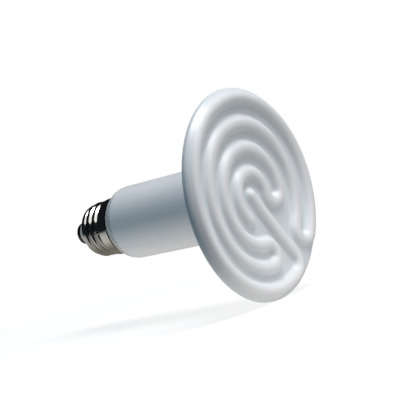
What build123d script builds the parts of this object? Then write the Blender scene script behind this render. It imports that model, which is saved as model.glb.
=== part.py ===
from build123d import *
import os
from math import atan2, cos, degrees, hypot, radians, sin, tan
from typing import NamedTuple

# Ceramic heat emitter: a porcelain disc and neck cast in one piece round a heating coil, on a screw base.
# The screw axis lies along X. X = 0 is the tip of the base, and the ribbed face looks along +X.
# Seen from the face, Y is to the right and Z is up. Sizes are in millimetres.
# Angles on the face are in degrees, counter-clockwise from +Y.

# Disc
overall_length = 107.0
disc_diameter = 93.8
rim_depth = 3.8
rim_land = 0.5
rim_back_radius = 0.8
back_slope = 13.0

# Rib: it runs to and fro in four rings, and the last one turns back to the middle as a straight bar
ring_count = 4
inner_ring_radius = 10.85
rim_margin = 5.0
rib_width = 8.7
rib_height = 3.1
rib_root = 0.5
terminal_angle = 230.5
inner_turn_angle = -5.7
lower_turn_angle = 269.5
outer_turn_angle = -32.9
elbow_radius = 3.2
bar_angle = -51.7
bar_offset = 2.8
bar_head_reach = 2.4

# Neck, shoulder and spigot
neck_diameter = 34.3
neck_root_radius = 9.0
neck_wall = 4.6
bore_end_depth = 13.0
bore_end_radius = 5.0
shoulder_length = 7.8
collar_diameter = 27.8
mouth_diameter = 14.0
mouth_slope = 30.0
seat_length = 3.0
spigot_diameter = 20.8
spigot_length = 9.6

# Screw base
base_height = 27.7
skirt_diameter = 27.2
skirt_length = 5.0
skirt_step = 1.2
thread_diameter = 26.2
thread_root_diameter = 24.1
thread_pitch = 3.629
ridge_width = 2.9
ridge_foot = 0.2
thread_start = 2.2
thread_stop = 0.6
thread_runout = 3.5
sheet = 0.4
shell_length = 17.2
shell_lip_diameter = 21.4
shell_lip_radius = 0.8
shell_solder_height = 0.3
notch_angle = 185.0
notch_width = 1.6
notch_depth = 2.2
insulator_flange = 1.6
insulator_nose_diameter = 10.8
contact_diameter = 9.8
contact_thickness = 1.9
contact_edge = 0.5
solder_diameter = 5.2
solder_height = 0.7
solder_flat_diameter = 3.2

# Coil and leads
coil_diameter = 2.6
coil_sides = 8
coil_depth = 3.2
lead_diameter = 1.0
lead_bend_radius = 4.0
lead_turn_radius = 1.5
lead_swing_length = 12.0
fit_gap = 0.1

# Places worked out from the sizes above
crest_x = overall_length
floor_x = crest_x - rib_height
rim_x = crest_x - rim_depth
disc_radius = disc_diameter / 2
neck_radius = neck_diameter / 2
bore_radius = neck_radius - neck_wall
mouth_radius = mouth_diameter / 2
bore_end_x = crest_x - bore_end_depth
edge_x = base_height
seat_end_x = edge_x - seat_length
spigot_end_x = seat_end_x - spigot_length
shell_end_x = edge_x - shell_length
skirt_end_x = edge_x - skirt_length
thread_end_x = skirt_end_x - skirt_step
skirt_radius = skirt_diameter / 2
root_radius = thread_root_diameter / 2
ridge_height = (thread_diameter - thread_root_diameter) / 2
thread_start_x = shell_end_x + thread_start
runout_x = shell_end_x + shell_lip_radius
seat_radius = skirt_radius - sheet - fit_gap
spigot_radius = spigot_diameter / 2
lip_radius = shell_lip_diameter / 2
contact_x = solder_height
insulator_x = contact_x + contact_thickness
ring_pitch = (disc_radius - rim_margin - inner_ring_radius) / (ring_count - 1)
ring_radii = [inner_ring_radius + ring_pitch * k for k in range(ring_count)]
coil_x = crest_x - coil_depth
lead_top_x = coil_x - coil_diameter / 2 - fit_gap
lead_hole_diameter = lead_diameter + 2 * fit_gap


def on_face(radius, angle):
    """Y and Z of a point at a radius and an angle about the screw axis."""
    return radius * cos(radians(angle)), radius * sin(radians(angle))


class Bend(NamedTuple):
    """One arc of the rib's route: its centre's Y and Z, its radius, where it starts and how far it turns."""

    centre: tuple
    radius: float
    start: float
    sweep: float


def ring(index, start, end):
    """An arc of one ring, between two angles."""
    return Bend((0, 0), ring_radii[index], start, end - start)


def turn(index, angle, start):
    """The half circle that joins a ring to the next one out."""
    return Bend(on_face(ring_radii[index] + ring_pitch / 2, angle), ring_pitch / 2, start, 180)


inner_route = [
    ring(0, inner_turn_angle, terminal_angle),
    turn(0, inner_turn_angle, inner_turn_angle - 180),
    ring(1, inner_turn_angle, lower_turn_angle),
    turn(1, lower_turn_angle, lower_turn_angle),
    ring(2, outer_turn_angle, lower_turn_angle),
    turn(2, outer_turn_angle, outer_turn_angle - 180),
]
along_bar = on_face(1, bar_angle)
beside_bar = on_face(1, bar_angle - 90)
elbow_side = bar_offset + elbow_radius
elbow_reach = ((ring_radii[-1] - elbow_radius) ** 2 - elbow_side**2) ** 0.5


def from_bar(along, beside):
    """Y and Z of a point so far along the bar from the disc's middle, and so far beside the middle."""
    return along * along_bar[0] + beside * beside_bar[0], along * along_bar[1] + beside * beside_bar[1]


elbow_centre = from_bar(elbow_reach, elbow_side)
elbow_angle = degrees(atan2(elbow_centre[1], elbow_centre[0]))
elbow = Bend(elbow_centre, elbow_radius, elbow_angle, bar_angle + 90 - elbow_angle)
rim_ring = ring(ring_count - 1, outer_turn_angle, elbow_angle + 360)
bar_head = from_bar(-bar_head_reach, bar_offset)
bar_tail = from_bar(elbow_reach, bar_offset)
terminal = on_face(ring_radii[0], terminal_angle)


def bend_plane(bend, x):
    """Plane across a bend at its start: local x points away from its centre, local y along the screw axis."""
    outward = on_face(1, bend.start)
    origin = (x, bend.centre[0] + bend.radius * outward[0], bend.centre[1] + bend.radius * outward[1])
    return Plane(origin=origin, x_dir=(0, *outward), z_dir=(0, outward[1], -outward[0]))


def run_length(start, end):
    """Length of a straight run on the face."""
    return hypot(end[0] - start[0], end[1] - start[1])


def run_plane(x, start, end):
    """Plane across a straight run at its start: local y along the screw axis, normal along the run."""
    length = run_length(start, end)
    along = ((end[0] - start[0]) / length, (end[1] - start[1]) / length)
    return Plane(origin=(x, *start), x_dir=(0, -along[1], along[0]), z_dir=(0, *along))


def bend_axis(centre):
    """Axis along X through a point of the face."""
    return Axis((0, *centre), (1, 0, 0))


def rib_section(plane):
    """Section of the rib: a round crest on a foot that is sunk in the disc."""
    half = rib_width / 2
    foot = -rib_height - rib_root
    with BuildSketch(plane) as section:
        with BuildLine():
            ThreePointArc((-half, -rib_height), (0, 0), (half, -rib_height))
            Polyline((half, -rib_height), (half, foot), (-half, foot), (-half, -rib_height))
        make_face()
    return section.sketch


def outside_of(axis_distance, section_of, plane, *sizes):
    """The part of a section on the far side of an axis, to be turned about it. The axis runs along local y,
    and lies so far from the section's middle towards negative x."""
    with BuildSketch(plane) as section:
        add(section_of(Plane.XY, *sizes))
        split(bisect_by=Plane.YZ.offset(-axis_distance), keep=Keep.TOP)
    return section.sketch


def rim_section(plane):
    """Section of the outermost ring: the inner half is the rib's, the outer half rolls over to the rim."""
    half = rib_width / 2
    foot = -rim_depth - rim_land
    crest_radius = (half**2 + rib_height**2) / (2 * rib_height)
    inner_mid = (-half / 2, -crest_radius + (crest_radius**2 - half**2 / 4) ** 0.5)
    with BuildSketch(plane) as section:
        with BuildLine():
            ThreePointArc((-half, -rib_height), inner_mid, (0, 0))
            EllipticalCenterArc((0, -rim_depth), rim_margin, rim_depth, start_angle=0, arc_size=90)
            Polyline((rim_margin, -rim_depth), (rim_margin, foot), (-half, foot), (-half, -rib_height))
        make_face()
    return section.sketch


def coil_section(plane, diameter):
    """Section of the coil or of its channel: a polygon with a flat side towards the face."""
    with BuildSketch(plane) as section:
        RegularPolygon(diameter / 2, coil_sides, rotation=180 / coil_sides)
    return section.sketch


def follow_coil(diameter, mode):
    """A bar along the whole route of the coil, added to or cut from the part being made."""
    for bend in [*inner_route, rim_ring, elbow]:
        revolve(
            coil_section(bend_plane(bend, coil_x), diameter),
            axis=bend_axis(bend.centre),
            revolution_arc=bend.sweep,
            mode=mode,
        )
    extrude(
        coil_section(run_plane(coil_x, bar_head, bar_tail), diameter),
        amount=run_length(bar_head, bar_tail),
        mode=mode,
    )
    for end in (terminal, bar_head):
        end_plane = run_plane(coil_x, end, (0, 0))
        revolve(outside_of(0, coil_section, end_plane, diameter), axis=bend_axis(end), mode=mode)


# Leads run in straight stretches from the ends of the coil, down the neck and out through the base
contact_lead_route = [
    (lead_top_x, *bar_head),
    (edge_x + shoulder_length + lead_swing_length, *bar_head),
    (edge_x + shoulder_length, 0, 0),
    (contact_x + contact_thickness / 2, 0, 0),
]
notch_x = edge_x - notch_depth / 2
shell_lead_route = [
    (lead_top_x, *terminal),
    (edge_x + shoulder_length + lead_swing_length, *terminal),
    (notch_x, *on_face(mouth_radius / 2, notch_angle)),
    (notch_x, *on_face(seat_radius, notch_angle)),
]


def lead_solid(route, radii, diameter, mode=Mode.ADD):
    """A round wire along a route of straight stretches joined by arcs."""
    with BuildLine() as line:
        FilletPolyline(*route, radius=radii)
    with BuildSketch(Plane(origin=line.line @ 0, z_dir=line.line % 0)) as section:
        Circle(diameter / 2)
    sweep(section.sketch, path=line.line, mode=mode)


def hole_along_x(centre, start_x, end_x, diameter):
    """A round hole along the screw axis, cut from the part being made."""
    with BuildSketch(Plane(origin=(start_x, *centre), x_dir=(0, 1, 0), z_dir=(1, 0, 0))) as section:
        Circle(diameter / 2)
    extrude(section.sketch, amount=end_x - start_x, mode=Mode.SUBTRACT)


notch_direction = on_face(1, notch_angle)
notch_plane = Plane(origin=(0, 0, 0), x_dir=(1, 0, 0), z_dir=(0, *notch_direction))

os.makedirs("parts", exist_ok=True)

# Ceramic body: half section turned about the screw axis, then the rib, then the coil's channel and the lead holes
with BuildPart() as ceramic_body:
    edge_rounding = rim_depth - rib_height
    back_rim_x = rim_x - rim_land - rim_back_radius
    back_rim_radius = disc_radius - rim_back_radius
    back_neck_x = back_rim_x - (back_rim_radius - neck_radius) * tan(radians(back_slope))
    shoulder_x = edge_x + shoulder_length
    bore_start_x = edge_x + (bore_radius - mouth_radius) / tan(radians(mouth_slope))
    with BuildSketch(Plane.XY) as half_section:
        with BuildLine():
            Line((floor_x, 0), (floor_x, disc_radius - edge_rounding))
            RadiusArc(
                (floor_x, disc_radius - edge_rounding), (rim_x, disc_radius), -edge_rounding
            )
            Line((rim_x, disc_radius), (rim_x - rim_land, disc_radius))
            RadiusArc(
                (rim_x - rim_land, disc_radius), (back_rim_x, back_rim_radius), -rim_back_radius
            )
            FilletPolyline(
                (back_rim_x, back_rim_radius),
                (back_neck_x, neck_radius),
                (shoulder_x, neck_radius),
                radius=neck_root_radius,
            )
            TangentArc((shoulder_x, neck_radius), (edge_x, collar_diameter / 2), tangent=(-1, 0))
            FilletPolyline(
                (edge_x, collar_diameter / 2),
                (edge_x, seat_radius),
                (seat_end_x, seat_radius),
                (seat_end_x, spigot_radius),
                (spigot_end_x, spigot_radius),
                (spigot_end_x, mouth_radius),
                (edge_x, mouth_radius),
                (bore_start_x, bore_radius),
                (bore_end_x, bore_radius),
                (bore_end_x, 0),
                (floor_x, 0),
                radius=[0, 0, 0, 0, 0, 0, 0, bore_end_radius, 0],
            )
        make_face()
    revolve(axis=Axis.X)
    for bend in inner_route:
        revolve(
            rib_section(bend_plane(bend, crest_x)),
            axis=bend_axis(bend.centre),
            revolution_arc=bend.sweep,
        )
    revolve(
        rim_section(bend_plane(rim_ring, crest_x)),
        axis=Axis.X,
        revolution_arc=rim_ring.sweep,
    )
    revolve(
        outside_of(elbow_radius, rib_section, bend_plane(elbow, crest_x)),
        axis=bend_axis(elbow.centre),
        revolution_arc=elbow.sweep,
    )
    extrude(rib_section(run_plane(crest_x, bar_head, bar_tail)), amount=run_length(bar_head, bar_tail))
    for end in (terminal, bar_head):
        revolve(outside_of(0, rib_section, run_plane(crest_x, end, (0, 0))), axis=bend_axis(end))
    follow_coil(coil_diameter + 2 * fit_gap, Mode.SUBTRACT)
    for end in (terminal, bar_head):
        hole_along_x(end, bore_end_x - bore_end_radius, coil_x, lead_hole_diameter)
    with BuildSketch(notch_plane.offset(mouth_radius / 2)) as lead_exit:
        with Locations((notch_x, 0)):
            Circle(lead_hole_diameter / 2)
    extrude(amount=collar_diameter / 2, mode=Mode.SUBTRACT)
ceramic_body.part.label = "ceramic_body"
export_step(ceramic_body.part, "parts/ceramic_body.step")


# Heating coil: resistance wire wound as a spring, as one bar of its outer diameter, in the channel under the rib
with BuildPart() as heating_coil:
    follow_coil(coil_diameter, Mode.ADD)
heating_coil.part.label = "heating_coil"
export_step(heating_coil.part, "parts/heating_coil.step")

# Lead from the bar's end of the coil to the centre contact
with BuildPart() as contact_lead:
    lead_solid(contact_lead_route, lead_bend_radius, lead_diameter)
contact_lead.part.label = "contact_lead"
export_step(contact_lead.part, "parts/contact_lead.step")

# Lead from the inner ring's end of the coil to the notch in the skirt's edge
with BuildPart() as shell_lead:
    lead_solid(shell_lead_route, [lead_bend_radius, lead_turn_radius], lead_diameter)
shell_lead.part.label = "shell_lead"
export_step(shell_lead.part, "parts/shell_lead.step")

# Ridge of the screw thread, run out in a cone at the end of the shell
with BuildPart() as thread_ridge:
    with BuildLine() as thread_line:
        Helix(
            pitch=thread_pitch,
            height=thread_end_x - thread_stop - thread_start_x,
            radius=root_radius,
            center=(thread_start_x, 0, 0),
            direction=(1, 0, 0),
        )
    ridge_start = thread_line.line @ 0
    ridge_plane = Plane(
        origin=ridge_start, x_dir=(0, ridge_start.Y, ridge_start.Z), z_dir=thread_line.line % 0
    )
    with BuildSketch(ridge_plane):
        with BuildLine():
            ThreePointArc((-ridge_foot, -ridge_width / 2), (ridge_height, 0), (-ridge_foot, ridge_width / 2))
            Line((-ridge_foot, ridge_width / 2), (-ridge_foot, -ridge_width / 2))
        make_face()
    sweep(path=thread_line.line, is_frenet=True)
    with BuildSketch(Plane.XY):
        with BuildLine():
            Polyline(
                (runout_x, root_radius - sheet),
                (runout_x, root_radius),
                (runout_x + thread_runout, skirt_radius),
                (shell_end_x, skirt_radius),
                (shell_end_x, root_radius - sheet),
                close=True,
            )
        make_face()
    revolve(axis=Axis.X, mode=Mode.SUBTRACT)

# Screw shell: thin sheet with a plain skirt, a round rolled thread and a lip turned in at the end
with BuildPart() as screw_shell:
    with BuildSketch(Plane.XY):
        with BuildLine():
            FilletPolyline(
                (edge_x, 0),
                (edge_x, skirt_radius),
                (skirt_end_x, skirt_radius),
                (thread_end_x, root_radius),
                (shell_end_x, root_radius),
                (shell_end_x, 0),
                radius=[0, 0, 0, 0, shell_lip_radius, 0],
                close=True,
            )
        make_face()
    revolve(axis=Axis.X)
    add(thread_ridge.part)
    with BuildSketch(Plane.XY):
        with BuildLine():
            FilletPolyline(
                (edge_x, 0),
                (edge_x, skirt_radius - sheet),
                (skirt_end_x, skirt_radius - sheet),
                (thread_end_x, root_radius - sheet),
                (shell_end_x + sheet, root_radius - sheet),
                (shell_end_x + sheet, lip_radius),
                (shell_end_x, lip_radius),
                (shell_end_x, 0),
                radius=[0, 0, 0, 0, shell_lip_radius - sheet, 0, 0, 0],
                close=True,
            )
        make_face()
    revolve(axis=Axis.X, mode=Mode.SUBTRACT)
    with BuildSketch(notch_plane.offset(root_radius)):
        with Locations((notch_x, 0)):
            Rectangle(notch_depth, notch_width)
    extrude(amount=skirt_radius, mode=Mode.SUBTRACT)
screw_shell.part.label = "screw_shell"
export_step(screw_shell.part, "parts/screw_shell.step")

# Shell solder: fills the notch over the end of the lead
with BuildPart() as shell_solder:
    with BuildSketch(notch_plane.offset(skirt_radius - sheet)):
        with Locations((notch_x, 0)):
            Rectangle(notch_depth - 2 * fit_gap, notch_width - 2 * fit_gap)
    extrude(amount=sheet + shell_solder_height)
    outer_face = shell_solder.faces().sort_by(Axis((0, 0, 0), (0, *notch_direction)))[-1]
    fillet(outer_face.edges(), shell_solder_height)
shell_solder.part.label = "shell_solder"
export_step(shell_solder.part, "parts/shell_solder.step")

# Base cement: fills the space between the spigot and the shell
with BuildPart() as base_cement:
    with BuildSketch(Plane.XY):
        with BuildLine():
            Polyline(
                (seat_end_x - fit_gap, spigot_radius + fit_gap),
                (seat_end_x - fit_gap, skirt_radius - sheet - fit_gap),
                (skirt_end_x, skirt_radius - sheet - fit_gap),
                (thread_end_x, root_radius - sheet - fit_gap),
                (spigot_end_x, root_radius - sheet - fit_gap),
                (spigot_end_x, spigot_radius + fit_gap),
                close=True,
            )
        make_face()
    revolve(axis=Axis.X)
base_cement.part.label = "base_cement"
export_step(base_cement.part, "parts/base_cement.step")

# Base insulator: a flange behind the shell's lip and a cone that carries the centre contact
with BuildPart() as base_insulator:
    flange_x = shell_end_x + sheet + fit_gap
    flange_radius = root_radius - shell_lip_radius - fit_gap
    with BuildSketch(Plane.XY):
        with BuildLine():
            Polyline(
                (insulator_x, lead_hole_diameter / 2),
                (insulator_x, insulator_nose_diameter / 2),
                (shell_end_x, lip_radius - fit_gap),
                (flange_x, lip_radius - fit_gap),
                (flange_x, flange_radius),
                (flange_x + insulator_flange, flange_radius),
                (flange_x + insulator_flange, lead_hole_diameter / 2),
                close=True,
            )
        make_face()
    revolve(axis=Axis.X)
base_insulator.part.label = "base_insulator"
export_step(base_insulator.part, "parts/base_insulator.step")

# Centre contact: a round plate with a hole for the lead and a rounded outer edge
with BuildPart() as centre_contact:
    with BuildSketch(Plane.XY):
        with BuildLine():
            FilletPolyline(
                (insulator_x, lead_hole_diameter / 2),
                (insulator_x, contact_diameter / 2),
                (contact_x, contact_diameter / 2),
                (contact_x, lead_hole_diameter / 2),
                radius=[0, 0, contact_edge, 0],
                close=True,
            )
        make_face()
    revolve(axis=Axis.X)
centre_contact.part.label = "centre_contact"
export_step(centre_contact.part, "parts/centre_contact.step")

# Contact solder: a low dome with a flat tip, and a plug in the contact's hole that meets the lead
with BuildPart() as contact_solder:
    with BuildSketch(Plane.XY):
        with BuildLine():
            Polyline(
                (0, solder_flat_diameter / 2),
                (0, 0),
                (contact_x + contact_thickness / 2 - fit_gap, 0),
                (contact_x + contact_thickness / 2 - fit_gap, lead_diameter / 2),
                (contact_x, lead_diameter / 2),
                (contact_x, solder_diameter / 2),
            )
            TangentArc((0, solder_flat_diameter / 2), (contact_x, solder_diameter / 2), tangent=(0, 1))
        make_face()
    revolve(axis=Axis.X)
contact_solder.part.label = "contact_solder"
export_step(contact_solder.part, "parts/contact_solder.step")
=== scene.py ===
"""Looks of a ceramic heat emitter: a glazed porcelain disc and neck on a nickel-plated screw base.

X runs along the screw axis from the base's tip to the ribbed face. Seen from the face, Y is to the right
and Z is up. Lengths are in metres and angles in degrees, counter-clockwise from +Y as seen from the face.
"""

import bpy
import numpy as np
from mathutils import Matrix, Vector


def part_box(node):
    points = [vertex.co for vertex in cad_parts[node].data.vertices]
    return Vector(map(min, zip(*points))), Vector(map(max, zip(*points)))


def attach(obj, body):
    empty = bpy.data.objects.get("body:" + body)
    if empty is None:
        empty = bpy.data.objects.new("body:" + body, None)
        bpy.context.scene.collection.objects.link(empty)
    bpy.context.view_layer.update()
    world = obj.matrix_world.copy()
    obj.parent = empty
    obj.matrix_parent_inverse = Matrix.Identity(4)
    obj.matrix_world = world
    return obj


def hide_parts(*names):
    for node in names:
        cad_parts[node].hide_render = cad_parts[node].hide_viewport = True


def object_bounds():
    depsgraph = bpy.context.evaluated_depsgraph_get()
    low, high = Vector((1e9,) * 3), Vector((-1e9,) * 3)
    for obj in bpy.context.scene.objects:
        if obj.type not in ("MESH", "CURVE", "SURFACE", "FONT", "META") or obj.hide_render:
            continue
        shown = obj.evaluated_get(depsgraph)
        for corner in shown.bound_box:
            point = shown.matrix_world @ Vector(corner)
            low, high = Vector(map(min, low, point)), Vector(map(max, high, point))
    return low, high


MM = 0.001

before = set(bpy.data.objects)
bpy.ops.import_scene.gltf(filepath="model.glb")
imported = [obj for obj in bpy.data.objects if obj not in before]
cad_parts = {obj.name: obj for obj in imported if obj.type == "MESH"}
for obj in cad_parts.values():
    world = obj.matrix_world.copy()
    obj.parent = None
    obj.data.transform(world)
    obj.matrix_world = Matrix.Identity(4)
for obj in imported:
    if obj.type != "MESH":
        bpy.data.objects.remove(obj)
cad_low, cad_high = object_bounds()

# Places read from the frame
porcelain_low, porcelain_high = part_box("ceramic_body")
shell_low, shell_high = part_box("screw_shell")
insulator_low, insulator_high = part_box("base_insulator")
contact_low, contact_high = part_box("centre_contact")
tip_low, tip_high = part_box("contact_solder")
crest_x = porcelain_high.x
spigot_end_x = porcelain_low.x
disc_radius = porcelain_high.z
edge_x = shell_high.x
shell_end_x = shell_low.x
skirt_radius = shell_high.z

# The rib's route on the face
ring_radii = np.array([10.80, 21.22, 31.60, 42.27]) * MM
rim_crest = ring_radii[3]
rim_margin = disc_radius - rim_crest
terminal_angle = 234.5
tongue_angle = -55.0
tongue_length = 3.1 * MM
tongue_fall = 1.6 * MM
inner_turn_angle = 3.8
lower_turn_angle = 272.9
outer_turn_angle = -33.1
elbow_radius = 6.7 * MM
bar_angle = -56.2
bar_offset = -0.15 * MM
bar_head_reach = 1.1 * MM

# The face's bowl, the rib's section and the disc's rim
face_dish = 2.00 * MM
middle_shift = np.array([-1.08, -1.55]) * MM
rib_half_width = 3.70 * MM
rib_height = 2.30 * MM
rib_roundness = 2.62
rib_foot_blend = 1.06 * MM
rim_blend_loss = 0.95
glaze_reach = 0.3 * MM
rim_depth = 3.8 * MM
rim_fullness = 1.6
rim_land = 0.5 * MM
rim_back_radius = 0.8 * MM
back_slope = 13.0

# Neck, shoulder, spigot and bore
neck_radius = 17.15 * MM
neck_root_radius = 9.0 * MM
shoulder_length = 7.8 * MM
collar_radius = 13.9 * MM
collar_gap = 0.6 * MM
seat_radius = 13.1 * MM
seat_length = 3.0 * MM
spigot_radius = 10.4 * MM
mouth_radius = 7.0 * MM
bore_radius = 12.55 * MM
bore_start_x = edge_x + 9.613 * MM
bore_end_x = crest_x - 13.0 * MM
bore_end_radius = 5.0 * MM

# Screw shell
sheet = 0.4 * MM
thread_pitch = 3.629 * MM
thread_root = 12.05 * MM
thread_height = 1.05 * MM
thread_start_x = shell_end_x + 1.6 * MM
thread_start_angle = 90.0
thread_fullness = 1.2
thread_runout = 2.6 * MM
skirt_end_x = edge_x - 5.0 * MM
skirt_step = 1.2 * MM
skirt_blend = 0.25 * MM
lip_round = 0.8 * MM
lip_outer_round = 0.784 * MM
lip_radius = 10.7 * MM
notch_angle = 185.0
notch_half_width = 0.8 * MM
notch_depth = 2.2 * MM
notch_blend = 0.3 * MM

# Insulator and centre contact
lead_hole_radius = 0.6 * MM
insulator_gap = 0.1 * MM
insulator_nose_radius = 5.4 * MM
insulator_nose_round = 0.6 * MM
insulator_foot_round = 0.3 * MM
flange_x = shell_end_x + sheet + insulator_gap
flange_radius = 11.15 * MM
contact_radius = 5.1 * MM
contact_skirt = 0.6 * MM
contact_front_round = 0.5 * MM
contact_back_round = 0.2 * MM

# Solder at the tip: a wave of its rim is a share of the radius, a number of waves to the turn and an angle
tip_flat_radius = 1.6 * MM
tip_radius = 2.6 * MM
tip_inset = 0.1
tip_waves = (0.06, 3, 40.0), (0.04, 5, 110.0)
plug_radius = 0.5 * MM

# Solder in the notch
bead_half_length = 1.0 * MM
bead_half_width = 0.7 * MM
bead_half_height = 0.35 * MM
bead_sink = 0.05 * MM
bead_squareness = 0.6

# Heating coil
coil_depth = 3.2 * MM
coil_radius = 1.3 * MM
coil_step = 1.047 * MM

# Numbers of rows, columns and points in the surfaces
body_columns = 512
inner_face_rows = 111
rim_roll_rows = 17
rim_back_points = 7
neck_root_points = 14
shoulder_points = 16
corner_points = 8
glaze_neighbours = 12
shell_columns = 256
shell_rows = 240
inner_row_step = 4
small_columns = 96
dome_rows = 10
bead_rows = 20
bead_columns = 32
coil_columns = 12
coil_bar_rows = 30

# Edges that turn by more than this stay creased
crease_angle = 40.0


# Surfaces worked out as arrays


def polar(radius, angle):
    """Y and Z at a radius and an angle about the screw axis: radius times cosine, radius times sine."""
    return radius * np.cos(np.radians(angle)), radius * np.sin(np.radians(angle))


def turn_angles(count):
    """So many angles spread evenly over a whole turn."""
    return np.arange(count) * 360 / count


def smooth_step(value):
    """Rises from 0 to 1 as the value does: 3 t^2 - 2 t^3, with t the value held between 0 and 1."""
    t = np.clip(value, 0, 1)
    return t * t * (3 - 2 * t)


def smooth_least(first, second, blend):
    """The lesser of two heights, with a fillet where they cross: both mixed by a share, less blend times
    share times (1 - share). The share rises from 0 to 1 as their difference goes from -blend to blend."""
    share = np.clip(0.5 + 0.5 * (second - first) / blend, 0, 1)
    return second + (first - second) * share - blend * share * (1 - share)


def arc_distance(y, z, centre, radius, start, end):
    """Distance from points of the face to an arc: how far the distance to its centre is from its radius
    where the direction lies within the arc, else the distance to the nearer end."""
    from_y, from_z = y - centre[0], z - centre[1]
    turned = np.mod(np.degrees(np.arctan2(from_z, from_y)) - min(start, end), 360)
    first, last = polar(radius, start), polar(radius, end)
    to_first = np.hypot(from_y - first[0], from_z - first[1])
    to_last = np.hypot(from_y - last[0], from_z - last[1])
    on_arc = np.abs(np.hypot(from_y, from_z) - radius)
    return np.where(turned <= abs(end - start), on_arc, np.minimum(to_first, to_last))


def run_distance(y, z, start, end):
    """Distance from points of the face to a straight run, and how far along it the nearest point lies, from
    0 to 1: the foot of the perpendicular is held between the run's ends."""
    along = np.subtract(end, start)
    share = np.clip(((y - start[0]) * along[0] + (z - start[1]) * along[1]) / along.dot(along), 0, 1)
    return np.hypot(y - start[0] - share * along[0], z - start[1] - share * along[1]), share


def from_bar(along, beside):
    """A point so far along the bar from the disc's middle, and so far beside the middle."""
    return np.array(polar(along, bar_angle)) + np.array(polar(beside, bar_angle - 90))


def ring_arc(index, start, end):
    """A stretch of one of the rib's rings, as centre, radius, start angle and end angle."""
    return (0, 0), ring_radii[index], start, end


def turn_arc(index, place, start, end):
    """The half circle at an angle of the face that joins a ring to the next one out."""
    half = (ring_radii[index + 1] - ring_radii[index]) / 2
    return polar(ring_radii[index] + half, place), half, start, end


elbow_side = bar_offset + elbow_radius
elbow_reach = np.sqrt((rim_crest - elbow_radius) ** 2 - elbow_side**2)
elbow_centre = from_bar(elbow_reach, elbow_side)
elbow_angle = np.degrees(np.arctan2(elbow_centre[1], elbow_centre[0]))
rim_ring_end = elbow_angle + 360
rib_arcs = [
    ring_arc(0, terminal_angle, inner_turn_angle),
    turn_arc(0, inner_turn_angle, inner_turn_angle - 180, inner_turn_angle),
    ring_arc(1, inner_turn_angle, lower_turn_angle),
    turn_arc(1, lower_turn_angle, lower_turn_angle + 180, lower_turn_angle),
    ring_arc(2, lower_turn_angle, outer_turn_angle),
    turn_arc(2, outer_turn_angle, outer_turn_angle - 180, outer_turn_angle),
    ring_arc(3, outer_turn_angle, rim_ring_end),
    (elbow_centre, elbow_radius, elbow_angle, bar_angle + 90),
]
bar_head = from_bar(-bar_head_reach, bar_offset)
bar_tail = from_bar(elbow_reach, bar_offset)
tongue_start = np.array(polar(ring_radii[0], terminal_angle))
tongue_end = tongue_start + polar(tongue_length, tongue_angle)


def rib_distance(y, z):
    """Distance from points of the face to the rib's crest line: the least over its arcs and its bar."""
    from_arcs = [arc_distance(y, z, *arc) for arc in rib_arcs]
    from_run, _ = run_distance(y, z, bar_head, bar_tail)
    return np.minimum.reduce([*from_arcs, from_run])


def rib_fall(distance):
    """Depth under the rib's crest: height times (distance / half width) to the power of its roundness."""
    return rib_height * (distance / rib_half_width) ** rib_roundness


def face_bowl(radius):
    """How far the face's bowl has sunk: 1 - (radius / rim crest)^2, 1 in the middle and 0 outside."""
    return np.clip(1 - (radius / rim_crest) ** 2, 0, 1)


def face_depth(radius, angle):
    """Depth of the face under the crest plane. The rib falls from its crest line and runs into the flat
    plate with a fillet, which fades out towards the rim. Past the inner ring's end a tongue of the same
    section sinks with the square of the way along it. The glaze evens this out: the depth is a mean over a
    small circle of neighbours, less what that takes off a straight crest. Outside the outermost crest the
    rib rolls over to the rim as a quarter of an oval, 1 - (1 - t^n)^(1/n) with n its fullness, which also
    closes its two ends. The plate rounds over at the rim as a quarter circle. The bowl moves the rib
    sideways and sinks the whole face, both in proportion to face_bowl."""
    bowl = face_bowl(radius)
    y, z = polar(radius, angle)
    y, z = y - middle_shift[0] * bowl, z - middle_shift[1] * bowl
    outside = np.maximum(radius - rim_crest, 0)
    edge_round = rim_depth - rib_height
    plate_edge = np.clip((radius - disc_radius + edge_round) / edge_round, 0, 1)
    plate = rib_height + edge_round * (1 - np.sqrt(1 - plate_edge**2))
    foot_blend = rib_foot_blend * (1 - rim_blend_loss * smooth_step(outside / rim_margin))

    def ridge(aside, above):
        """Depth so far aside and above: the lesser of rib and tongue, run into the plate."""
        rib = rib_fall(rib_distance(y + aside, z + above))
        from_tongue, share = run_distance(y + aside, z + above, tongue_start, tongue_end)
        tongue = rib_fall(from_tongue) + tongue_fall * share**2
        return smooth_least(np.minimum(rib, tongue), plate, foot_blend)

    neighbours = np.transpose(polar(glaze_reach, turn_angles(glaze_neighbours)))
    sunk_crest = np.mean(rib_fall(np.abs(neighbours[:, 0])))
    ridges = np.mean([ridge(aside, above) for aside, above in neighbours], axis=0) - sunk_crest
    past_ends = arc_distance(y, z, (0, 0), radius, outer_turn_angle, rim_ring_end)
    spread = np.clip(np.hypot(outside / rim_margin, past_ends / rib_half_width), 0, 1)
    roll = rim_depth * (1 - (1 - spread**rim_fullness) ** (1 / rim_fullness))
    return np.maximum(np.where(outside > 0, np.minimum(roll, ridges), ridges), 0) + face_dish * bowl


def arc_points(centre, radius, start, end, count):
    """Points of an arc in a plane: its centre plus its radius turned from the start to the end angle."""
    across, up = polar(radius, np.linspace(start, end, count))
    return np.stack([centre[0] + across, centre[1] + up], axis=-1)


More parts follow.
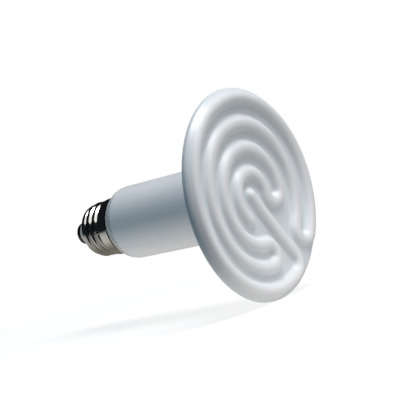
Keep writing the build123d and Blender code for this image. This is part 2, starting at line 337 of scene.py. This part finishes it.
def rounded_profile(corners, count=corner_points):
    """Points x, r of a profile through corners (x, r, rounding). A rounding swaps its corner for the arc
    that touches both neighbouring sides: its centre lies on the corner's bisector, the rounding divided by
    the sine of half the corner's angle away."""
    points = np.array([corner[:2] for corner in corners], float)
    pieces = [points[:1]]
    for index in range(1, len(corners) - 1):
        rounding = corners[index][2]
        if not rounding:
            pieces.append(points[index : index + 1])
            continue
        back, ahead = points[index - 1] - points[index], points[index + 1] - points[index]
        back, ahead = back / np.linalg.norm(back), ahead / np.linalg.norm(ahead)
        half_angle = np.arccos(np.clip(back.dot(ahead), -1, 1)) / 2
        bisector = (back + ahead) / np.linalg.norm(back + ahead)
        centre = points[index] + bisector * rounding / np.sin(half_angle)
        reach = rounding / np.tan(half_angle)
        first, last = points[index] + back * reach - centre, points[index] + ahead * reach - centre
        start = np.degrees(np.arctan2(first[1], first[0]))
        turn = np.degrees(np.arctan2(first[0] * last[1] - first[1] * last[0], first.dot(last)))
        pieces.append(arc_points(centre, rounding, start, start + turn, count))
    pieces.append(points[-1:])
    return np.concatenate(pieces)


def round_points(along, radius, angle):
    """Points x, y, z at places along the screw axis, and at radii and angles about it."""
    return np.stack(np.broadcast_arrays(along, *polar(radius, angle)), axis=-1)


def turned_rows(profile, columns):
    """A profile of x, r points turned about the screw axis: each point becomes a row of points round it."""
    return round_points(profile[:, :1], profile[:, 1:], turn_angles(columns))


def wrapped_quads(rows, columns, rows_wrap=False):
    """Quads between neighbouring rows of a grid whose last column joins its first, as its last row may."""
    strips = rows if rows_wrap else rows - 1
    row, column = np.meshgrid(np.arange(strips), np.arange(columns), indexing="ij")
    beside = (column + 1) % columns
    here, below = row * columns, (row + 1) % rows * columns
    return np.stack([here + column, below + column, below + beside, here + beside], axis=-1).reshape(-1, 4)


def fan(ring, pole, columns):
    """Triangles from a pole's vertex to a ring of vertices."""
    column = np.arange(columns)
    return np.stack([np.full(columns, pole), ring + column, ring + (column + 1) % columns], axis=-1)


def ring_grid(rows):
    """Points, quads and no triangles: a grid of points whose last row joins its first."""
    return rows.reshape(-1, 3), wrapped_quads(*rows.shape[:2], rows_wrap=True), np.empty((0, 3), int)


def poled_grid(rows, first_pole, last_pole):
    """Points, quads and triangles: a grid of points with a pole before its first row and after its last."""
    count, columns = rows.shape[:2]
    pole = count * columns
    points = np.concatenate([rows.reshape(-1, 3), [first_pole, last_pole]])
    fans = [fan(0, pole, columns), fan(pole - columns, pole + 1, columns)[:, ::-1]]
    return points, wrapped_quads(count, columns), np.concatenate(fans)


def enclosed_volume(points, faces):
    """Volume inside a closed mesh: a sixth of the sum of corner . (corner x corner) over its triangles."""
    corners = points[faces]
    triangles = np.concatenate([corners[:, [0, k, k + 1]] for k in range(1, faces.shape[1] - 1)])
    return np.einsum("ij,ij->i", triangles[:, 0], np.cross(triangles[:, 1], triangles[:, 2])).sum() / 6


def make_piece(name, node, grid, material):
    """A closed, smooth-shaded mesh in place of a node, its faces turned outwards."""
    points, quads, triangles = grid
    if enclosed_volume(points, quads) + enclosed_volume(points, triangles) < 0:
        quads, triangles = quads[:, ::-1], triangles[:, ::-1]
    mesh = bpy.data.meshes.new(name)
    mesh.from_pydata(points.tolist(), [], quads.tolist() + triangles.tolist())
    mesh.shade_smooth()
    mesh.set_sharp_from_angle(angle=np.radians(crease_angle))
    mesh.materials.append(material)
    piece = bpy.data.objects.new(name, mesh)
    bpy.context.scene.collection.objects.link(piece)
    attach(piece, "root")
    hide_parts(node)


# Shader maths


class Value:
    """One output of a node, with arithmetic: every operator adds a Math node."""

    def __init__(self, paint, socket):
        self.paint = paint
        self.socket = socket

    def maths(self, operation, first, second):
        """A Math node that takes two values or numbers."""
        return self.paint.node("Math", {"operation": operation}, {0: first, 1: second})

    def __add__(self, other):
        return self.maths("ADD", self, other)

    def __radd__(self, other):
        return self.maths("ADD", other, self)

    def __sub__(self, other):
        return self.maths("SUBTRACT", self, other)

    def __rsub__(self, other):
        return self.maths("SUBTRACT", other, self)

    def __mul__(self, other):
        return self.maths("MULTIPLY", self, other)

    def __rmul__(self, other):
        return self.maths("MULTIPLY", other, self)


class Paint:
    """A node tree that is being wired: one method makes every node."""

    def __init__(self, tree):
        self.tree = tree
        tree.nodes.clear()

    def node(self, kind, settings=None, inputs=None, output=0):
        """A shader node of a kind, its settings first, then the values or links of its sockets."""
        made = self.tree.nodes.new("ShaderNode" + kind)
        for key, value in (settings or {}).items():
            setattr(made, key, value)
        for key, value in (inputs or {}).items():
            if isinstance(value, Value):
                self.tree.links.new(value.socket, made.inputs[key])
            else:
                made.inputs[key].default_value = value
        return Value(self, made.outputs[output]) if made.outputs else None

    def place(self):
        """The point's place in the object's own frame."""
        return self.node("TexCoord", output="Object")

    def parts(self, vector):
        """The X, Y and Z of a vector."""
        split = self.node("SeparateXYZ", inputs={0: vector}).socket.node
        return [Value(self, part) for part in split.outputs]

    def fade(self, value, low, high, start, end):
        """A value carried from low..high to start..end with a smooth step, held at both ends."""
        inputs = {"Value": value, "From Min": low, "From Max": high, "To Min": start, "To Max": end}
        return self.node("MapRange", {"interpolation_type": "SMOOTHSTEP"}, inputs)

    def rise(self, value, low, high):
        """A smooth rise from 0 where a value is low to 1 where it is high."""
        return self.fade(value, low, high, 0.0, 1.0)

    def fall(self, value, low, high, top=1.0):
        """A smooth fall from the top where a value is low to 0 where it is high."""
        return self.fade(value, low, high, top, 0.0)

    def mix(self, share, first, second):
        """A colour between two colours, which are inputs 6 and 7 and output 2 of a Mix node."""
        return self.node("Mix", {"data_type": "RGBA"}, {0: share, 6: first, 7: second}, output=2)

    def noise(self, point, scale, detail=3.0, roughness=0.5):
        """Cloudy noise, about 0.5 on average, with so many spots to the metre."""
        inputs = {"Vector": point, "Scale": scale, "Detail": detail, "Roughness": roughness}
        return self.node("TexNoise", inputs=inputs)

    def bump(self, height, strength, distance):
        """A normal bent by a height."""
        return self.node("Bump", inputs={"Strength": strength, "Distance": distance, "Height": height})

    def ray(self, kind):
        """1 for rays of a kind, such as Camera or Glossy, else 0."""
        return self.node("LightPath", output=f"Is {kind} Ray")


def colour(red, green, blue):
    """A colour with full alpha."""
    return (red, green, blue, 1.0)


def new_material(name):
    """An empty material and its paint."""
    material = bpy.data.materials.new(name)
    material.use_nodes = True
    return material, Paint(material.node_tree)


# Materials

# Porcelain: how deep glaze pools under the crests, darkened there as painted shade, where the glaze ends
# past the shell's edge, and the painted shade in the gap
pool_end_depth = 4.4 * MM
pool_full_depth = 3.6 * MM
bare_length = 5.4 * MM
bare_wander = 1.6 * MM
glaze_edge_fade = 0.35 * MM
gap_dark_length = 0.02 * MM
gap_fade_length = 0.12 * MM
body_tones = colour(0.79, 0.815, 0.84), colour(0.83, 0.845, 0.865)
# painted shade: the darker, bluer tone of the glaze deep in the grooves
pooled_shade_tone = colour(0.62, 0.70, 0.75)
pooled_shade_share = 0.55
speck_tone = colour(0.42, 0.40, 0.37)
speck_share = 0.35
speck_fade = 0.735, 0.775
bare_tones = colour(0.40, 0.41, 0.40), colour(0.76, 0.77, 0.75)
bare_fade = 0.40, 0.60
# painted shade: near black at the collar's foot, in the gap to the shell
gap_shade_tone = colour(0.02, 0.02, 0.02)

# Metals and minerals: the noise at which a dull patch or a pale grain starts and is full, and the spots to
# the metre along a line
dull_fade = 0.42, 0.72
grain_fade = 0.35, 0.65
line_spread = 60.0

# Dirt and painted shade on the screw shell: over the thread's root, past the lip, and painted shade before
# the skirt's edge
dirt_and_shade_tone = colour(0.03, 0.03, 0.028)
root_dirt_and_shade_share = 0.75
root_dirt_and_shade_start = 0.02 * MM
root_dirt_and_shade_end = 0.22 * MM
lip_clean_length = 1.0 * MM
lip_fade_length = 2.2 * MM
edge_shade_length = 0.60 * MM
edge_dark_length = 0.35 * MM


def porcelain_material():
    """White porcelain: a clear glaze that pools in the grooves of the dished face, where it is darkened and
    blued as painted shade, with fine specks. The collar is left bare, with painted shade at its foot, in
    the gap to the screw shell."""
    material, paint = new_material("glazed_porcelain")
    point = paint.place()
    x, y, z = paint.parts(point)
    cloud = paint.noise(point, scale=55.0)
    fine = paint.noise(point, scale=420.0, detail=4.0)
    grain = paint.noise(point, scale=1500.0)
    spots = paint.noise(point, scale=900.0, detail=1.0)
    bowl = paint.node(
        "MapRange",
        inputs={"Value": y * y + z * z, "From Max": rim_crest**2, "To Min": 1.0, "To Max": 0.0},
    )
    raised = x + face_dish * bowl
    depth = paint.fall(raised, crest_x - rib_height, crest_x)
    on_face = paint.rise(raised, crest_x - pool_end_depth, crest_x - pool_full_depth)
    body = paint.mix(cloud, *body_tones)
    # painted shade: the glaze turns darker and bluer with the depth under the crests
    pooled_shaded = paint.mix(depth * on_face * pooled_shade_share, body, pooled_shade_tone)
    speckled = paint.mix(paint.rise(spots, *speck_fade) * speck_share, pooled_shaded, speck_tone)
    ripple = paint.bump(cloud * 0.7 + fine * 0.3, strength=0.12, distance=0.4 * MM)
    roughness = 0.22 + 0.12 * cloud + 0.05 * fine
    glaze = paint.node(
        "BsdfPrincipled",
        inputs={"Base Color": speckled, "Roughness": roughness, "Normal": ripple, "IOR": 1.5},
    )
    collar_x = edge_x + collar_gap
    # painted shade: the collar turns near black at its foot, in the gap
    gap = paint.fall(x, collar_x + gap_dark_length, collar_x + gap_fade_length)
    bare_tone = paint.mix(gap, paint.mix(paint.rise(grain, *bare_fade), *bare_tones), gap_shade_tone)
    bare_bump = paint.bump(grain, strength=0.5, distance=0.15 * MM)
    bare = paint.node(
        "BsdfPrincipled",
        inputs={"Base Color": bare_tone, "Roughness": 0.85, "Normal": bare_bump},
    )
    glaze_edge = edge_x + bare_length + bare_wander * fine
    covered = paint.rise(x - glaze_edge, -glaze_edge_fade, glaze_edge_fade)
    surface = paint.node("MixShader", inputs={0: covered, 1: bare, 2: glaze})
    paint.node("OutputMaterial", inputs={"Surface": surface})
    return material


def shell_dirt_and_shade(paint, point):
    """Where the screw shell is darkened: dirt and painted shade at the root of the thread, and painted
    shade along the skirt's edge.
    """
    x, y, z = paint.parts(point)
    radius = paint.node("Math", {"operation": "SQRT"}, {0: y * y + z * z})
    # dirt and painted shade in the thread's root; painted shade along the skirt's edge
    root = paint.fall(radius, thread_root + root_dirt_and_shade_start, thread_root + root_dirt_and_shade_end, root_dirt_and_shade_share)
    past_lip = paint.rise(x, shell_end_x + lip_clean_length, shell_end_x + lip_fade_length)
    edge = paint.rise(x, edge_x - edge_shade_length, edge_x - edge_dark_length)
    return root * past_lip + edge


def metal_material(name, tint, dull_tint, roughness, dullness, lines, line_depth, dirt_and_shade=None):
    """Metal with cloudy dull patches, fine lines round the screw axis, and dirt and painted shade where a
    function puts them.
    """
    material, paint = new_material(name)
    point = paint.place()
    cloud = paint.noise(point, scale=160.0, detail=4.0, roughness=0.6)
    stretched = paint.node("Mapping", inputs={"Vector": point, "Scale": (lines, line_spread, line_spread)})
    turned = paint.noise(stretched, scale=1.0, detail=2.0)
    dulled = paint.rise(cloud, *dull_fade) * dullness
    tone = paint.mix(dulled, colour(*tint), colour(*dull_tint))
    if dirt_and_shade:
        # dirt and painted shade darken the tone where the function puts them
        tone = paint.mix(dirt_and_shade(paint, point), tone, dirt_and_shade_tone)
    shine = roughness + 0.16 * dulled + 0.05 * turned
    scratched = paint.bump(turned, strength=line_depth, distance=0.05 * MM)
    metal = paint.node(
        "BsdfPrincipled",
        inputs={"Base Color": tone, "Metallic": 1.0, "Roughness": shine, "Normal": scratched},
    )
    paint.node("OutputMaterial", inputs={"Surface": metal})
    return material


def mineral_material(name, light, dark, roughness, grain_scale, grain_depth):
    """Matt mineral, such as cement or insulator: two tones in a fine grain, with larger clouds."""
    material, paint = new_material(name)
    point = paint.place()
    cloud = paint.noise(point, scale=120.0)
    grain = paint.noise(point, scale=grain_scale, roughness=0.65)
    paleness = paint.rise(0.65 * grain + 0.35 * cloud, *grain_fade)
    tone = paint.mix(paleness, colour(*dark), colour(*light))
    rough_grain = paint.bump(grain, strength=grain_depth, distance=0.1 * MM)
    mineral = paint.node(
        "BsdfPrincipled",
        inputs={"Base Color": tone, "Roughness": roughness + 0.1 * grain, "Normal": rough_grain},
    )
    paint.node("OutputMaterial", inputs={"Surface": mineral})
    return material


porcelain = porcelain_material()
nickel = metal_material(
    "nickel_plate",
    tint=(0.74, 0.72, 0.69),
    dull_tint=(0.52, 0.48, 0.42),
    roughness=0.07,
    dullness=0.3,
    lines=4000.0,
    line_depth=0.03,
    dirt_and_shade=shell_dirt_and_shade,
)
contact_metal = metal_material(
    "contact_plate",
    tint=(0.07, 0.07, 0.075),
    dull_tint=(0.045, 0.04, 0.038),
    roughness=0.22,
    dullness=0.8,
    lines=2500.0,
    line_depth=0.08,
)
solder = metal_material(
    "solder_tin",
    tint=(0.62, 0.62, 0.63),
    dull_tint=(0.42, 0.42, 0.43),
    roughness=0.30,
    dullness=0.9,
    lines=900.0,
    line_depth=0.20,
)
resistance_wire = metal_material(
    "resistance_wire",
    tint=(0.40, 0.38, 0.36),
    dull_tint=(0.22, 0.20, 0.19),
    roughness=0.45,
    dullness=0.9,
    lines=3000.0,
    line_depth=0.5,
)
lead_wire = metal_material(
    "lead_wire",
    tint=(0.60, 0.59, 0.57),
    dull_tint=(0.45, 0.43, 0.40),
    roughness=0.28,
    dullness=0.6,
    lines=800.0,
    line_depth=0.1,
)
insulator = mineral_material(
    "insulator_ceramic",
    light=(0.84, 0.835, 0.82),
    dark=(0.74, 0.73, 0.71),
    roughness=0.42,
    grain_scale=1400.0,
    grain_depth=0.2,
)
cement = mineral_material(
    "base_cement",
    light=(0.66, 0.63, 0.58),
    dark=(0.48, 0.46, 0.42),
    roughness=0.85,
    grain_scale=1800.0,
    grain_depth=0.7,
)


# Pieces


def make_porcelain_body():
    """The face is a grid of radius by angle whose depth is face_depth. At the rim it runs on into a profile
    turned about the screw axis: rim, sloped back, neck, shoulder, collar, spigot, mouth and bore."""
    inner_radii = np.linspace(0, rim_crest, inner_face_rows + 1)[1:]
    rolled = np.sin(np.radians(np.linspace(0, 90, rim_roll_rows + 1)[1:]))
    radius = np.concatenate([inner_radii, rim_crest + rim_margin * rolled])[:, None]
    angle = turn_angles(body_columns)
    face_rows = round_points(crest_x - face_depth(radius, angle), radius, angle)

    rim_x = crest_x - rim_depth
    back_x = rim_x - rim_land - rim_back_radius
    back_radius = disc_radius - rim_back_radius
    back_neck_x = back_x - (back_radius - neck_radius) * np.tan(np.radians(back_slope))
    back_centre = (rim_x - rim_land, back_radius)
    rim_back = arc_points(back_centre, rim_back_radius, 90, 180 - back_slope, rim_back_points)
    back = rounded_profile(
        [
            (*rim_back[-1], 0),
            (back_neck_x, neck_radius, neck_root_radius),
            (edge_x + shoulder_length, neck_radius, 0),
        ],
        count=neck_root_points,
    )
    shoulder_drop = neck_radius - collar_radius
    shoulder_run = shoulder_length - collar_gap
    shoulder_radius = (shoulder_run**2 + shoulder_drop**2) / (2 * shoulder_drop)
    shoulder_turn = np.degrees(np.arcsin(shoulder_run / shoulder_radius))
    shoulder_centre = (edge_x + shoulder_length, neck_radius - shoulder_radius)
    shoulder = arc_points(shoulder_centre, shoulder_radius, 90, 90 + shoulder_turn, shoulder_points)
    seat_end_x = edge_x - seat_length
    inside = rounded_profile(
        [
            (*shoulder[-1], 0),
            (edge_x + collar_gap, seat_radius, 0),
            (seat_end_x, seat_radius, 0),
            (seat_end_x, spigot_radius, 0),
            (spigot_end_x, spigot_radius, 0),
            (spigot_end_x, mouth_radius, 0),
            (edge_x, mouth_radius, 0),
            (bore_start_x, bore_radius, 0),
            (bore_end_x, bore_radius, bore_end_radius),
            (bore_end_x, 0, 0),
        ]
    )
    profile = np.concatenate([rim_back, back[1:], shoulder[1:], inside[1:-1]])
    rows = np.concatenate([face_rows, turned_rows(profile, body_columns)])
    grid = poled_grid(rows, (crest_x - face_depth(0, 0), 0, 0), (bore_end_x, 0, 0))
    make_piece("porcelain_body", "ceramic_body", grid, porcelain)


def shell_outside(x, angle):
    """Outer radius of the screw shell at a place along it and an angle. The thread is a raised cosine of
    place / pitch - angle / turn to the power of its fullness, faded in from the lip. The skirt rises over
    it in a smooth step, with a fillet between them."""
    phase = (x - thread_start_x) / thread_pitch - (angle - thread_start_angle) / 360
    wave = (0.5 + 0.5 * np.cos(2 * np.pi * phase)) ** thread_fullness
    faded_in = smooth_step((x - shell_end_x - lip_round) / thread_runout)
    thread = thread_root + thread_height * wave * faded_in
    on_skirt = smooth_step((x - skirt_end_x + skirt_step) / skirt_step)
    skirt = thread_root + (skirt_radius - thread_root) * on_skirt
    return -smooth_least(-thread, -skirt, skirt_blend)


def make_screw_shell():
    """Sheet rolled into a thread: rows run along the outside from the skirt's edge to the lip, round the
    lip and back along the inside, one sheet's thickness in. The skirt's edge steps back at the notch."""
    angle = turn_angles(shell_columns)
    off_notch = np.abs(np.mod(angle - notch_angle + 180, 360) - 180)
    from_notch = np.radians(off_notch) * skirt_radius
    edge = edge_x - notch_depth * smooth_step((notch_half_width - from_notch) / notch_blend + 0.5)
    lip_start_x = shell_end_x + lip_round
    share = np.linspace(0, 1, shell_rows + 1)[:, None]
    outer_x = edge + (lip_start_x - edge) * share
    outer_radius = shell_outside(outer_x, angle)
    lip = rounded_profile(
        [
            (lip_start_x, thread_root, 0),
            (shell_end_x, thread_root, lip_outer_round),
            (shell_end_x, lip_radius, 0),
            (shell_end_x + sheet, lip_radius, 0),
            (shell_end_x + sheet, thread_root - sheet, lip_round - sheet),
            (lip_start_x, thread_root - sheet, 0),
        ]
    )[1:-1]
    outside = round_points(outer_x, outer_radius, angle)
    inside = round_points(outer_x[::-inner_row_step], outer_radius[::-inner_row_step] - sheet, angle)
    rows = np.concatenate([outside, turned_rows(lip, shell_columns), inside])
    make_piece("screw_shell_sheet", "screw_shell", ring_grid(rows), nickel)


def make_insulator():
    """A cone with rounded edges and a flange, turned about the screw axis, with a hole for the lead."""
    nose_x, flange_end_x = insulator_low.x + contact_skirt, insulator_high.x
    cone_radius = lip_radius - insulator_gap
    profile = rounded_profile(
        [
            (nose_x, lead_hole_radius, 0),
            (nose_x, insulator_nose_radius, insulator_nose_round),
            (shell_end_x, cone_radius, insulator_foot_round),
            (flange_x, cone_radius, 0),
            (flange_x, flange_radius, 0),
            (flange_end_x, flange_radius, 0),
            (flange_end_x, lead_hole_radius, 0),
        ]
    )
    grid = ring_grid(turned_rows(profile, small_columns))
    make_piece("insulator_cone", "base_insulator", grid, insulator)


def make_centre_contact():
    """A round plate with a rolled outer edge, turned about the screw axis, with a hole for the lead."""
    front_x, back_x = contact_low.x, contact_high.x + contact_skirt
    profile = rounded_profile(
        [
            (back_x, lead_hole_radius, 0),
            (back_x, contact_radius, contact_back_round),
            (front_x, contact_radius, contact_front_round),
            (front_x, lead_hole_radius, 0),
        ]
    )
    grid = ring_grid(turned_rows(profile, small_columns))
    make_piece("contact_plate", "centre_contact", grid, contact_metal)


def make_contact_solder():
    """A low dome of solder with a plug behind it, turned about the screw axis: a flat tip with a quarter
    ellipse round it. Its rim wanders with the angle as a sum of two sines, fading out towards the tip."""
    back_x, plug_end_x = contact_low.x, tip_high.x
    quarter = arc_points((0, 0), 1, 180, 90, dome_rows)
    dome = (back_x, tip_flat_radius) + quarter * (back_x - tip_low.x, tip_radius - tip_flat_radius)
    plug = np.array([(back_x, plug_radius), (plug_end_x, plug_radius)])
    rows = turned_rows(np.concatenate([dome, plug]), small_columns)
    angle = turn_angles(small_columns)
    wander = sum(depth * np.sin(np.radians(waves * angle + start)) for depth, waves, start in tip_waves)
    share = np.concatenate([np.linspace(0, 1, dome_rows), np.zeros(len(plug))])[:, None]
    rows[:, :, 1:] *= (1 + share * (wander - tip_inset))[:, :, None]
    grid = poled_grid(rows, (tip_low.x, 0, 0), (plug_end_x, 0, 0))
    make_piece("contact_solder_dome", "contact_solder", grid, solder)


def make_shell_solder():
    """A bead of solder in the notch: a rounded box, each part a signed power of the sine and cosine of two
    angles, bent round the screw axis."""
    across = np.radians(np.linspace(-90, 90, bead_rows + 2)[1:-1])[:, None]
    around = np.radians(turn_angles(bead_columns))

    def boxed(value):
        """A value's size to the power of the squareness, with its sign kept."""
        return np.sign(value) * np.abs(value) ** bead_squareness

    out = boxed(np.sin(across))
    along = boxed(np.cos(across)) * boxed(np.cos(around))
    aside = boxed(np.cos(across)) * boxed(np.sin(around))
    middle_x = edge_x - notch_depth / 2
    middle_radius = skirt_radius - bead_sink
    angle = notch_angle + np.degrees(bead_half_width * aside / skirt_radius)
    rows = round_points(middle_x + bead_half_length * along, middle_radius + bead_half_height * out, angle)
    low = round_points(middle_x, middle_radius - bead_half_height, notch_angle)
    high = round_points(middle_x, middle_radius + bead_half_height, notch_angle)
    make_piece("shell_solder_bead", "shell_solder", poled_grid(rows, low, high), solder)


def make_heating_coil():
    """A round bar under the rib: a circle carried along the rib's route, sunk and moved by the bowl."""

    def stretch(centre, radius, start, end):
        """Points of one arc of the route, about a step apart, without its last one."""
        steps = int(np.radians(abs(end - start)) * radius / coil_step)
        return arc_points(centre, radius, start, end, steps + 2)[:-1]

    bar = np.linspace(bar_tail, bar_head, coil_bar_rows)
    route = np.concatenate([*(stretch(*arc) for arc in rib_arcs), bar])
    bowl = face_bowl(np.hypot(route[:, 0], route[:, 1]))[:, None]
    place = np.concatenate([crest_x - coil_depth - face_dish * bowl, route + middle_shift * bowl], axis=1)
    ahead = np.gradient(place, axis=0)
    ahead /= np.linalg.norm(ahead, axis=1)[:, None]
    aside = np.cross(ahead, (1, 0, 0))
    aside /= np.linalg.norm(aside, axis=1)[:, None]
    above = np.cross(aside, ahead)
    across, out = polar(coil_radius, turn_angles(coil_columns))
    rows = place[:, None] + across[:, None] * aside[:, None] + out[:, None] * above[:, None]
    grid = poled_grid(rows, place[0], place[-1])
    make_piece("heating_coil_bar", "heating_coil", grid, resistance_wire)


def dress_node(node, material):
    """Gives a carried-over node its material."""
    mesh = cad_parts[node].data
    mesh.materials.clear()
    mesh.materials.append(material)


make_porcelain_body()
make_screw_shell()
make_insulator()
make_centre_contact()
make_contact_solder()
make_shell_solder()
make_heating_coil()
dress_node("contact_lead", lead_wire)
dress_node("shell_lead", lead_wire)
dress_node("base_cement", cement)


# Camera, floor and light

part_middle = Vector((80.0, 0.0, 0.0)) * MM
camera_place = Vector((352.85, -369.87, 2.83)) * MM
camera_heading = 126.954
camera_roll = -13.479
camera_lens = 93.061
camera_sensor = 36.0
camera_near = 10 * MM
white = colour(1, 1, 1)

# Light table: each fade is where it starts and where it ends, from the part's middle, along Y or along X
floor_half = 1.5
floor_gap = 0.2 * MM
floor_tone = colour(0.20, 0.20, 0.20)
floor_veil = 0.84
shadow_fade = 120 * MM, 320 * MM
strip_fade = 50 * MM, 70 * MM
strip_glow = colour(0.94, 0.90, 0.86)
patch_front_fade = -70 * MM, -50 * MM
patch_end_fade = 90 * MM, 110 * MM
patch_glow = colour(0.31, 0.465, 0.54)
mirrored_front_fade = -340 * MM, -50 * MM
mirrored_end_fade = 20 * MM, 78 * MM
mirrored_tone_fade = -45 * MM, -5 * MM
mirrored_glows = colour(0.54, 0.54, 0.51), colour(0.20, 0.19, 0.16)
dark_glow = colour(0.01, 0.012, 0.015)

# Room: the card's edges as parts of a direction
room_tone = colour(0.005, 0.036, 0.08)
mirrored_room_tone = colour(0.008, 0.010, 0.014)
card_tone = colour(1.2, 1.2, 1.2)
card_front_lean = 0.9
card_back_lean = 0.4
card_edge_fade = -0.05, 0.05
card_end_fade = 0.05, 0.17
softbox_distance = 0.75
softbox_size = 0.35


def make_camera():
    """A level camera turned to its heading and then rolled about its own axis."""
    data = bpy.data.cameras.new("camera")
    data.lens = camera_lens
    data.sensor_width = camera_sensor
    data.clip_start = camera_near
    camera = bpy.data.objects.new("camera", data)
    heading = Matrix.Rotation(np.radians(camera_heading - 90), 4, "Z")
    level = Matrix.Rotation(np.radians(90), 4, "X")
    roll = Matrix.Rotation(np.radians(camera_roll), 4, "Z")
    camera.matrix_world = Matrix.Translation(camera_place) @ heading @ level @ roll
    bpy.context.scene.collection.objects.link(camera)
    bpy.context.scene.camera = camera


def floor_material():
    """A light table. The camera sees it white, with the part's shadow. To matt surfaces it glows in a strip
    under the part and in a dimmer patch before the neck. Shiny ones mirror what lies beside the base."""
    material, paint = new_material("light_table")
    point = paint.place()
    x, y, _ = paint.parts(point)
    off_axis = paint.node("Math", {"operation": "ABSOLUTE"}, {0: y})
    patch = paint.fall(y, *patch_front_fade) * paint.fall(x, *patch_end_fade)
    matt_glow = paint.mix(
        paint.fall(off_axis, *strip_fade), paint.mix(patch, dark_glow, patch_glow), strip_glow
    )
    beside_base = paint.rise(y, *mirrored_front_fade) * paint.fall(x, *mirrored_end_fade)
    mirrored_glow = paint.mix(paint.rise(y, *mirrored_tone_fade), *mirrored_glows)
    shiny_glow = paint.mix(beside_base, dark_glow, mirrored_glow)
    glow_tone = paint.mix(paint.ray("Glossy"), matt_glow, shiny_glow)
    glow = paint.node("Emission", inputs={"Color": glow_tone, "Strength": 1.0})
    matt = paint.node("BsdfDiffuse", inputs={"Color": floor_tone})
    veil = paint.node("Emission", inputs={"Color": white, "Strength": floor_veil})
    shaded = paint.node("AddShader", inputs={0: matt, 1: veil})
    blank = paint.node("Emission", inputs={"Color": white, "Strength": 1.0})
    from_part = paint.node(
        "VectorMath", {"operation": "DISTANCE"}, {0: point, 1: part_middle}, output="Value"
    )
    seen = paint.node("MixShader", inputs={0: paint.fall(from_part, *shadow_fade), 1: blank, 2: shaded})
    surface = paint.node("MixShader", inputs={0: paint.ray("Camera"), 1: glow, 2: seen})
    paint.node("OutputMaterial", inputs={"Surface": surface})
    return material


def make_floor():
    """A flat square just under the disc's rim."""
    low, high, level = -floor_half, floor_half, cad_low.z - floor_gap
    corners = [(low, low, level), (high, low, level), (high, high, level), (low, high, level)]
    mesh = bpy.data.meshes.new("floor")
    mesh.from_pydata(corners, [], [(0, 1, 2, 3)])
    mesh.materials.append(floor_material())
    floor = bpy.data.objects.new("floor", mesh)
    bpy.context.scene.collection.objects.link(floor)


def make_world():
    """White to the camera, and a dim blue room to matt surfaces. Shiny surfaces see a dark room with a
    white card overhead, on the face's side of the base: its front and back edges lean outwards."""
    world = bpy.data.worlds.new("studio")
    world.use_nodes = True
    bpy.context.scene.world = world
    paint = Paint(world.node_tree)
    x, y, z = paint.parts(paint.node("TexCoord", output="Generated"))
    front_edge = paint.rise(z + card_front_lean * y, *card_edge_fade)
    back_edge = paint.rise(card_back_lean * z - y, *card_edge_fade)
    card = paint.rise(x, *card_end_fade) * front_edge * back_edge
    mirrored = paint.mix(card, mirrored_room_tone, card_tone)
    room = paint.mix(paint.ray("Glossy"), room_tone, mirrored)
    tone = paint.mix(paint.ray("Camera"), room, white)
    background = paint.node("Background", inputs={"Color": tone, "Strength": 1.0})
    paint.node("OutputWorld", inputs={"Surface": background})


def make_softbox(name, azimuth, elevation, power, tint=(1.0, 1.0, 1.0), mirrored=True):
    """A square area lamp that looks at the part's middle: azimuth about Z from +X, elevation above the
    middle's level. Shiny surfaces mirror it unless told otherwise."""
    lamp = bpy.data.lights.new(name, "AREA")
    lamp.size = softbox_size
    lamp.energy = power
    lamp.color = tint
    softbox = bpy.data.objects.new(name, lamp)
    softbox.visible_glossy = mirrored
    reach, height = polar(softbox_distance, elevation)
    place = part_middle + Vector((*polar(reach, azimuth), height))
    turned = (part_middle - place).to_track_quat("-Z", "Y").to_matrix().to_4x4()
    softbox.matrix_world = Matrix.Translation(place) @ turned
    bpy.context.scene.collection.objects.link(softbox)


make_camera()
make_floor()
make_world()
make_softbox("top_softbox", azimuth=0, elevation=72, power=4.4)
make_softbox("front_softbox", azimuth=15, elevation=50, power=1.8, tint=(1.0, 0.95, 0.88))
make_softbox("low_softbox", azimuth=25, elevation=20, power=0.75, tint=(0.97, 1.0, 1.0))
make_softbox("back_softbox", azimuth=180, elevation=50, power=0.3, tint=(0.6, 0.85, 1.0), mirrored=False)

bpy.context.scene.view_settings.view_transform = "Standard"
